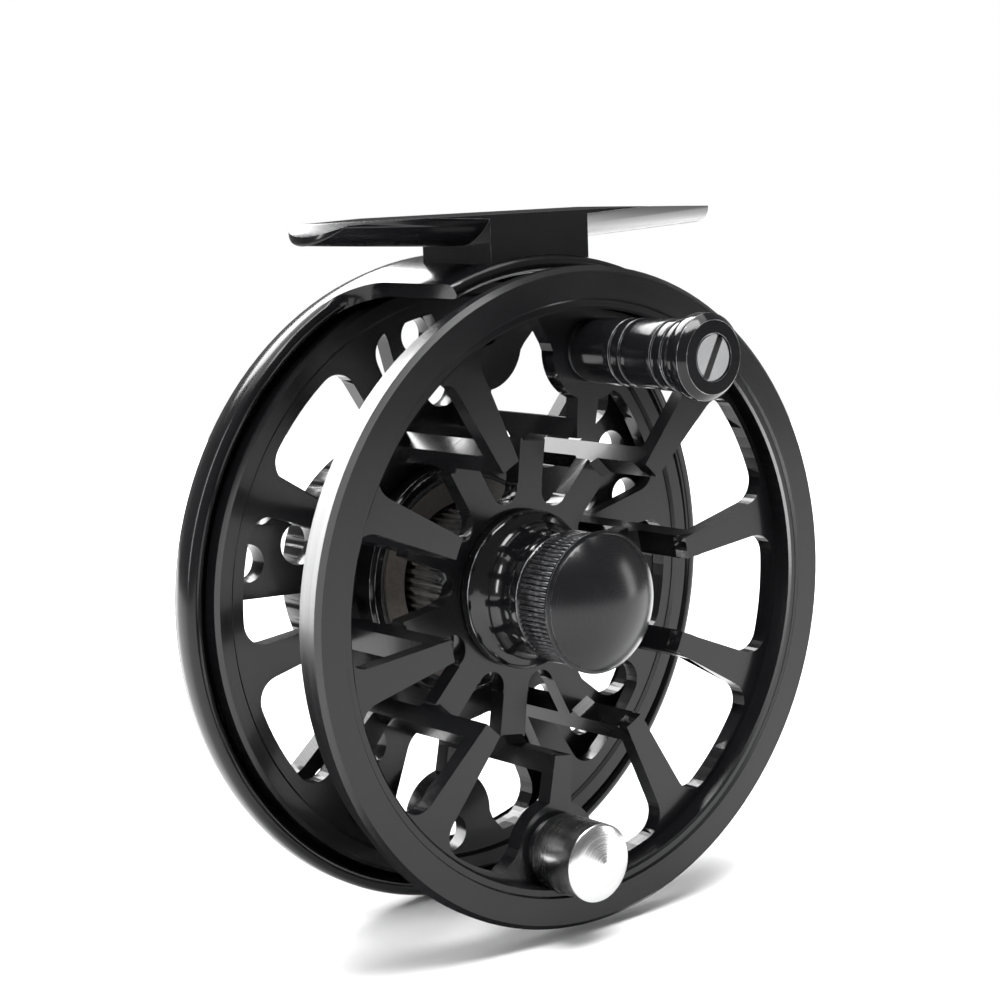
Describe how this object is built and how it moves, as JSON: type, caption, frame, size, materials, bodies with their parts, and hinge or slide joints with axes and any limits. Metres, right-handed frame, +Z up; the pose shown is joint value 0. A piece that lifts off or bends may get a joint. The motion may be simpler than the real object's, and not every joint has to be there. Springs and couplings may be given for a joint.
{
  "type": "fly reel",
  "caption": "Large-arbor fly reel with a half-cage frame, spoked spool on bearings, sealed disc drag with rear knob, click pawl, turning handle, counterweight and reel foot.",
  "frame": {"origin": "middle of the reel foot, level with the upper edges of its hollow, where it rests under a rod", "axes": "+Z up towards the rod, X along the foot and the rod, the spool turns about Y, and the handle side faces -Y"},
  "size_m": [0.085, 0.0616, 0.0902],
  "materials": {
    "black": "black hard-anodised, turned and polished, satin to gloss",
    "knob_black": "black anodised with a brushed dome",
    "grip_black": "black anodised, satin",
    "rubber_black": "black rubber seal",
    "steel": "turned stainless steel",
    "bright": "polished stainless steel",
    "cover_grey": "grey-brown bearing polymer",
    "carbon": "woven carbon-fibre friction disc"
  },
  "bodies": {
    "frame_body": {"frame": "black", "reel_foot": "black", "foot_screws": "steel", "drag_housing": "black", "housing_screws": "steel", "housing_cover": "cover_grey", "housing_seal": "rubber_black", "spindle": "steel", "reaction_ring": "steel", "front_friction_disc": "carbon", "rear_friction_disc": "carbon", "pressure_plate": "steel", "drag_springs": "steel", "knob_washer": "steel", "knob_nut": "steel", "pawl_pin": "steel", "pawl_spring": "steel"},
    "spool_body": {"spool": "black", "hub_sleeve": "black", "front_bearing": "steel", "rear_bearing": "steel", "drive_gear": "bright", "one_way_clutch": "steel", "handle_stud": "steel", "handle_washer": "steel", "handle_screw": "bright", "counterweight": "bright", "counterweight_screw": "steel"},
    "grip_body": {"handle_grip": "grip_black"},
    "release_body": {"release_knob": "knob_black", "knob_cap": "knob_black", "latch_plate": "steel"},
    "rotor_body": {"drag_rotor": "steel"},
    "pins_body": {"thrust_pins": "steel"},
    "knob_body": {"drag_knob": "knob_black"},
    "pawl_body": {"click_pawl": "steel"}
  },
  "joints": [
    {"name": "spool_spin", "type": "hinge", "parent": "frame_body", "child": "spool_body", "pos_m": [0, 0, -0.04775], "axis": [0, 1, 0], "continuous": true},
    {"name": "handle_spin", "type": "hinge", "parent": "spool_body", "child": "grip_body", "pos_m": [0.00403, -0.02215, -0.01711], "axis": [0, 1, 0], "continuous": true},
    {"name": "release_knob_turn", "type": "hinge", "parent": "spool_body", "child": "release_body", "pos_m": [0, -0.01315, -0.04775], "axis": [0, -1, 0], "range_deg": [0, 40], "stiffness_Nm_per_rad": 0.01},
    {"name": "drag_rotor_spin", "type": "hinge", "parent": "frame_body", "child": "rotor_body", "pos_m": [0, 0.01385, -0.04775], "axis": [0, 1, 0], "continuous": true},
    {"name": "drag_advance", "type": "slide", "parent": "frame_body", "child": "pins_body", "axis": [0, -1, 0], "range_m": [0, 0.0004], "deforming": ["drag_springs"]},
    {"name": "drag_knob_turn", "type": "hinge", "parent": "pins_body", "child": "knob_body", "pos_m": [0, 0.02385, -0.04775], "axis": [0, -1, 0], "range_deg": [0, 180]},
    {"name": "click_pawl_rock", "type": "hinge", "parent": "frame_body", "child": "pawl_body", "pos_m": [-0.00582, 0.01185, -0.0368], "axis": [0, 1, 0], "range_deg": [0, 12], "stiffness_Nm_per_rad": 0.002, "deforming": ["pawl_spring"]}
  ],
  "couplings": [
    {"joint": "drag_advance", "follows": "drag_knob_turn", "m_per_rad": 0.00012732}
  ]
}
